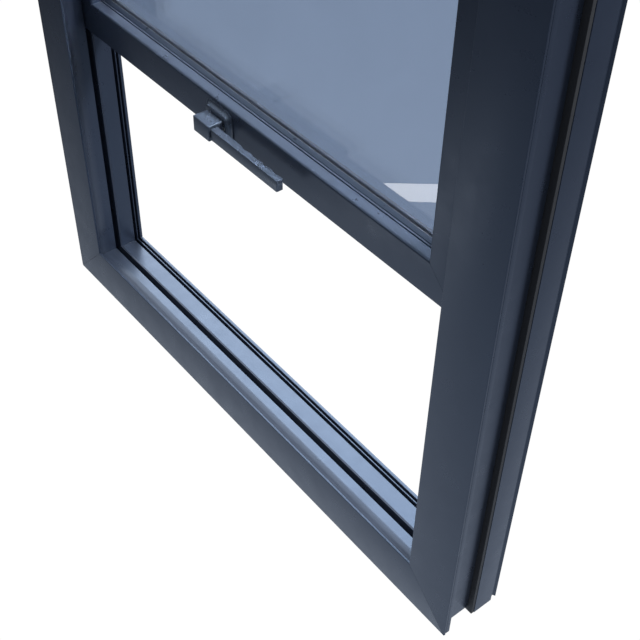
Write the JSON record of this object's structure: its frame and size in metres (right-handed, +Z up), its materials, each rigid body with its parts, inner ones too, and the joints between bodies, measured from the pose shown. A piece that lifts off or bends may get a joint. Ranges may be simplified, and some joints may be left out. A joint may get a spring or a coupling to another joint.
{
  "type": "vertical lift sash window",
  "caption": "Thermally broken metal window: fixed upper pane, double-glazed lift-up sash in side tracks, clamped by a lever with finger grips.",
  "frame": {"origin": "underside of the sill, middle of its width and depth", "axes": "+X to the right seen from the room, -Y towards the room and the lever, +Y towards the weather, +Z up"},
  "size_m": [0.794, 0.091, 0.828],
  "materials": {
    "powder_coat": "satin powder coat",
    "lever_coat": "satin powder coat",
    "polyamide": "matte",
    "cast_zinc": "as cast",
    "glass": "clear float glass",
    "spacer_bar": "matte",
    "rubber_seal": "matte",
    "steel": "zinc plated",
    "nylon": "moulded"
  },
  "bodies": {
    "frame": {"sill_inner_profile": "powder_coat", "sill_outer_profile": "powder_coat", "sill_thermal_bar": "polyamide", "right_jamb_inner_profile": "powder_coat", "right_jamb_outer_profile": "powder_coat", "right_jamb_thermal_bar": "polyamide", "head_inner_profile": "powder_coat", "head_outer_profile": "powder_coat", "head_thermal_bar": "polyamide", "left_jamb_inner_profile": "powder_coat", "left_jamb_outer_profile": "powder_coat", "left_jamb_thermal_bar": "polyamide", "inner_corner_cleat_bottom_left": "cast_zinc", "outer_corner_cleat_bottom_left": "cast_zinc", "inner_corner_cleat_bottom_right": "cast_zinc", "outer_corner_cleat_bottom_right": "cast_zinc", "inner_corner_cleat_top_right": "cast_zinc", "outer_corner_cleat_top_right": "cast_zinc", "inner_corner_cleat_top_left": "cast_zinc", "outer_corner_cleat_top_left": "cast_zinc", "upper_pane": "glass", "meeting_rail": "powder_coat"},
    "sash": {"sash_corner_cleat_bottom_left": "cast_zinc", "sash_corner_cleat_bottom_right": "cast_zinc", "sash_corner_cleat_top_right": "cast_zinc", "sash_corner_cleat_top_left": "cast_zinc", "inner_pane": "glass", "outer_pane": "glass", "sash_bottom_rail": "powder_coat", "sash_right_stile": "powder_coat", "sash_top_rail": "powder_coat", "sash_left_stile": "powder_coat", "sash_lock_stile": "powder_coat", "glazing_bead_bottom": "powder_coat", "glazing_bead_right": "powder_coat", "glazing_bead_top": "powder_coat", "glazing_bead_left": "powder_coat", "glazing_spacer": "spacer_bar", "inner_glazing_gasket": "rubber_seal", "outer_glazing_gasket": "rubber_seal", "bottom_wiper_seal": "rubber_seal", "lever_rose": "lever_coat", "rose_screw_left": "steel", "rose_screw_right": "steel", "drive_housing": "cast_zinc"},
    "lever": {"lever_hub": "lever_coat", "lever_arm": "lever_coat", "spindle": "steel", "drive_pinion": "steel"},
    "left_rod": {"left_drive_rod": "steel", "left_brake_shoe": "nylon"},
    "right_rod": {"right_drive_rod": "steel", "right_brake_shoe": "nylon"}
  },
  "joints": [
    {"name": "sash_slide", "type": "slide", "parent": "frame", "child": "sash", "axis": [0, 0, 1], "range_m": [-0.353, 0]},
    {"name": "lever_turn", "type": "hinge", "parent": "sash", "child": "lever", "pos_m": [-0.0614, -0.0099, 0.4138], "axis": [0, -1, 0], "range_deg": [0, 90]},
    {"name": "left_rod_slide", "type": "slide", "parent": "sash", "child": "left_rod", "axis": [1, 0, 0], "range_m": [0, 0.00942]},
    {"name": "right_rod_slide", "type": "slide", "parent": "sash", "child": "right_rod", "axis": [-1, 0, 0], "range_m": [0, 0.00942]}
  ],
  "couplings": [
    {"joint": "left_rod_slide", "follows": "lever_turn", "m_per_rad": 0.006},
    {"joint": "right_rod_slide", "follows": "lever_turn", "m_per_rad": 0.006}
  ]
}
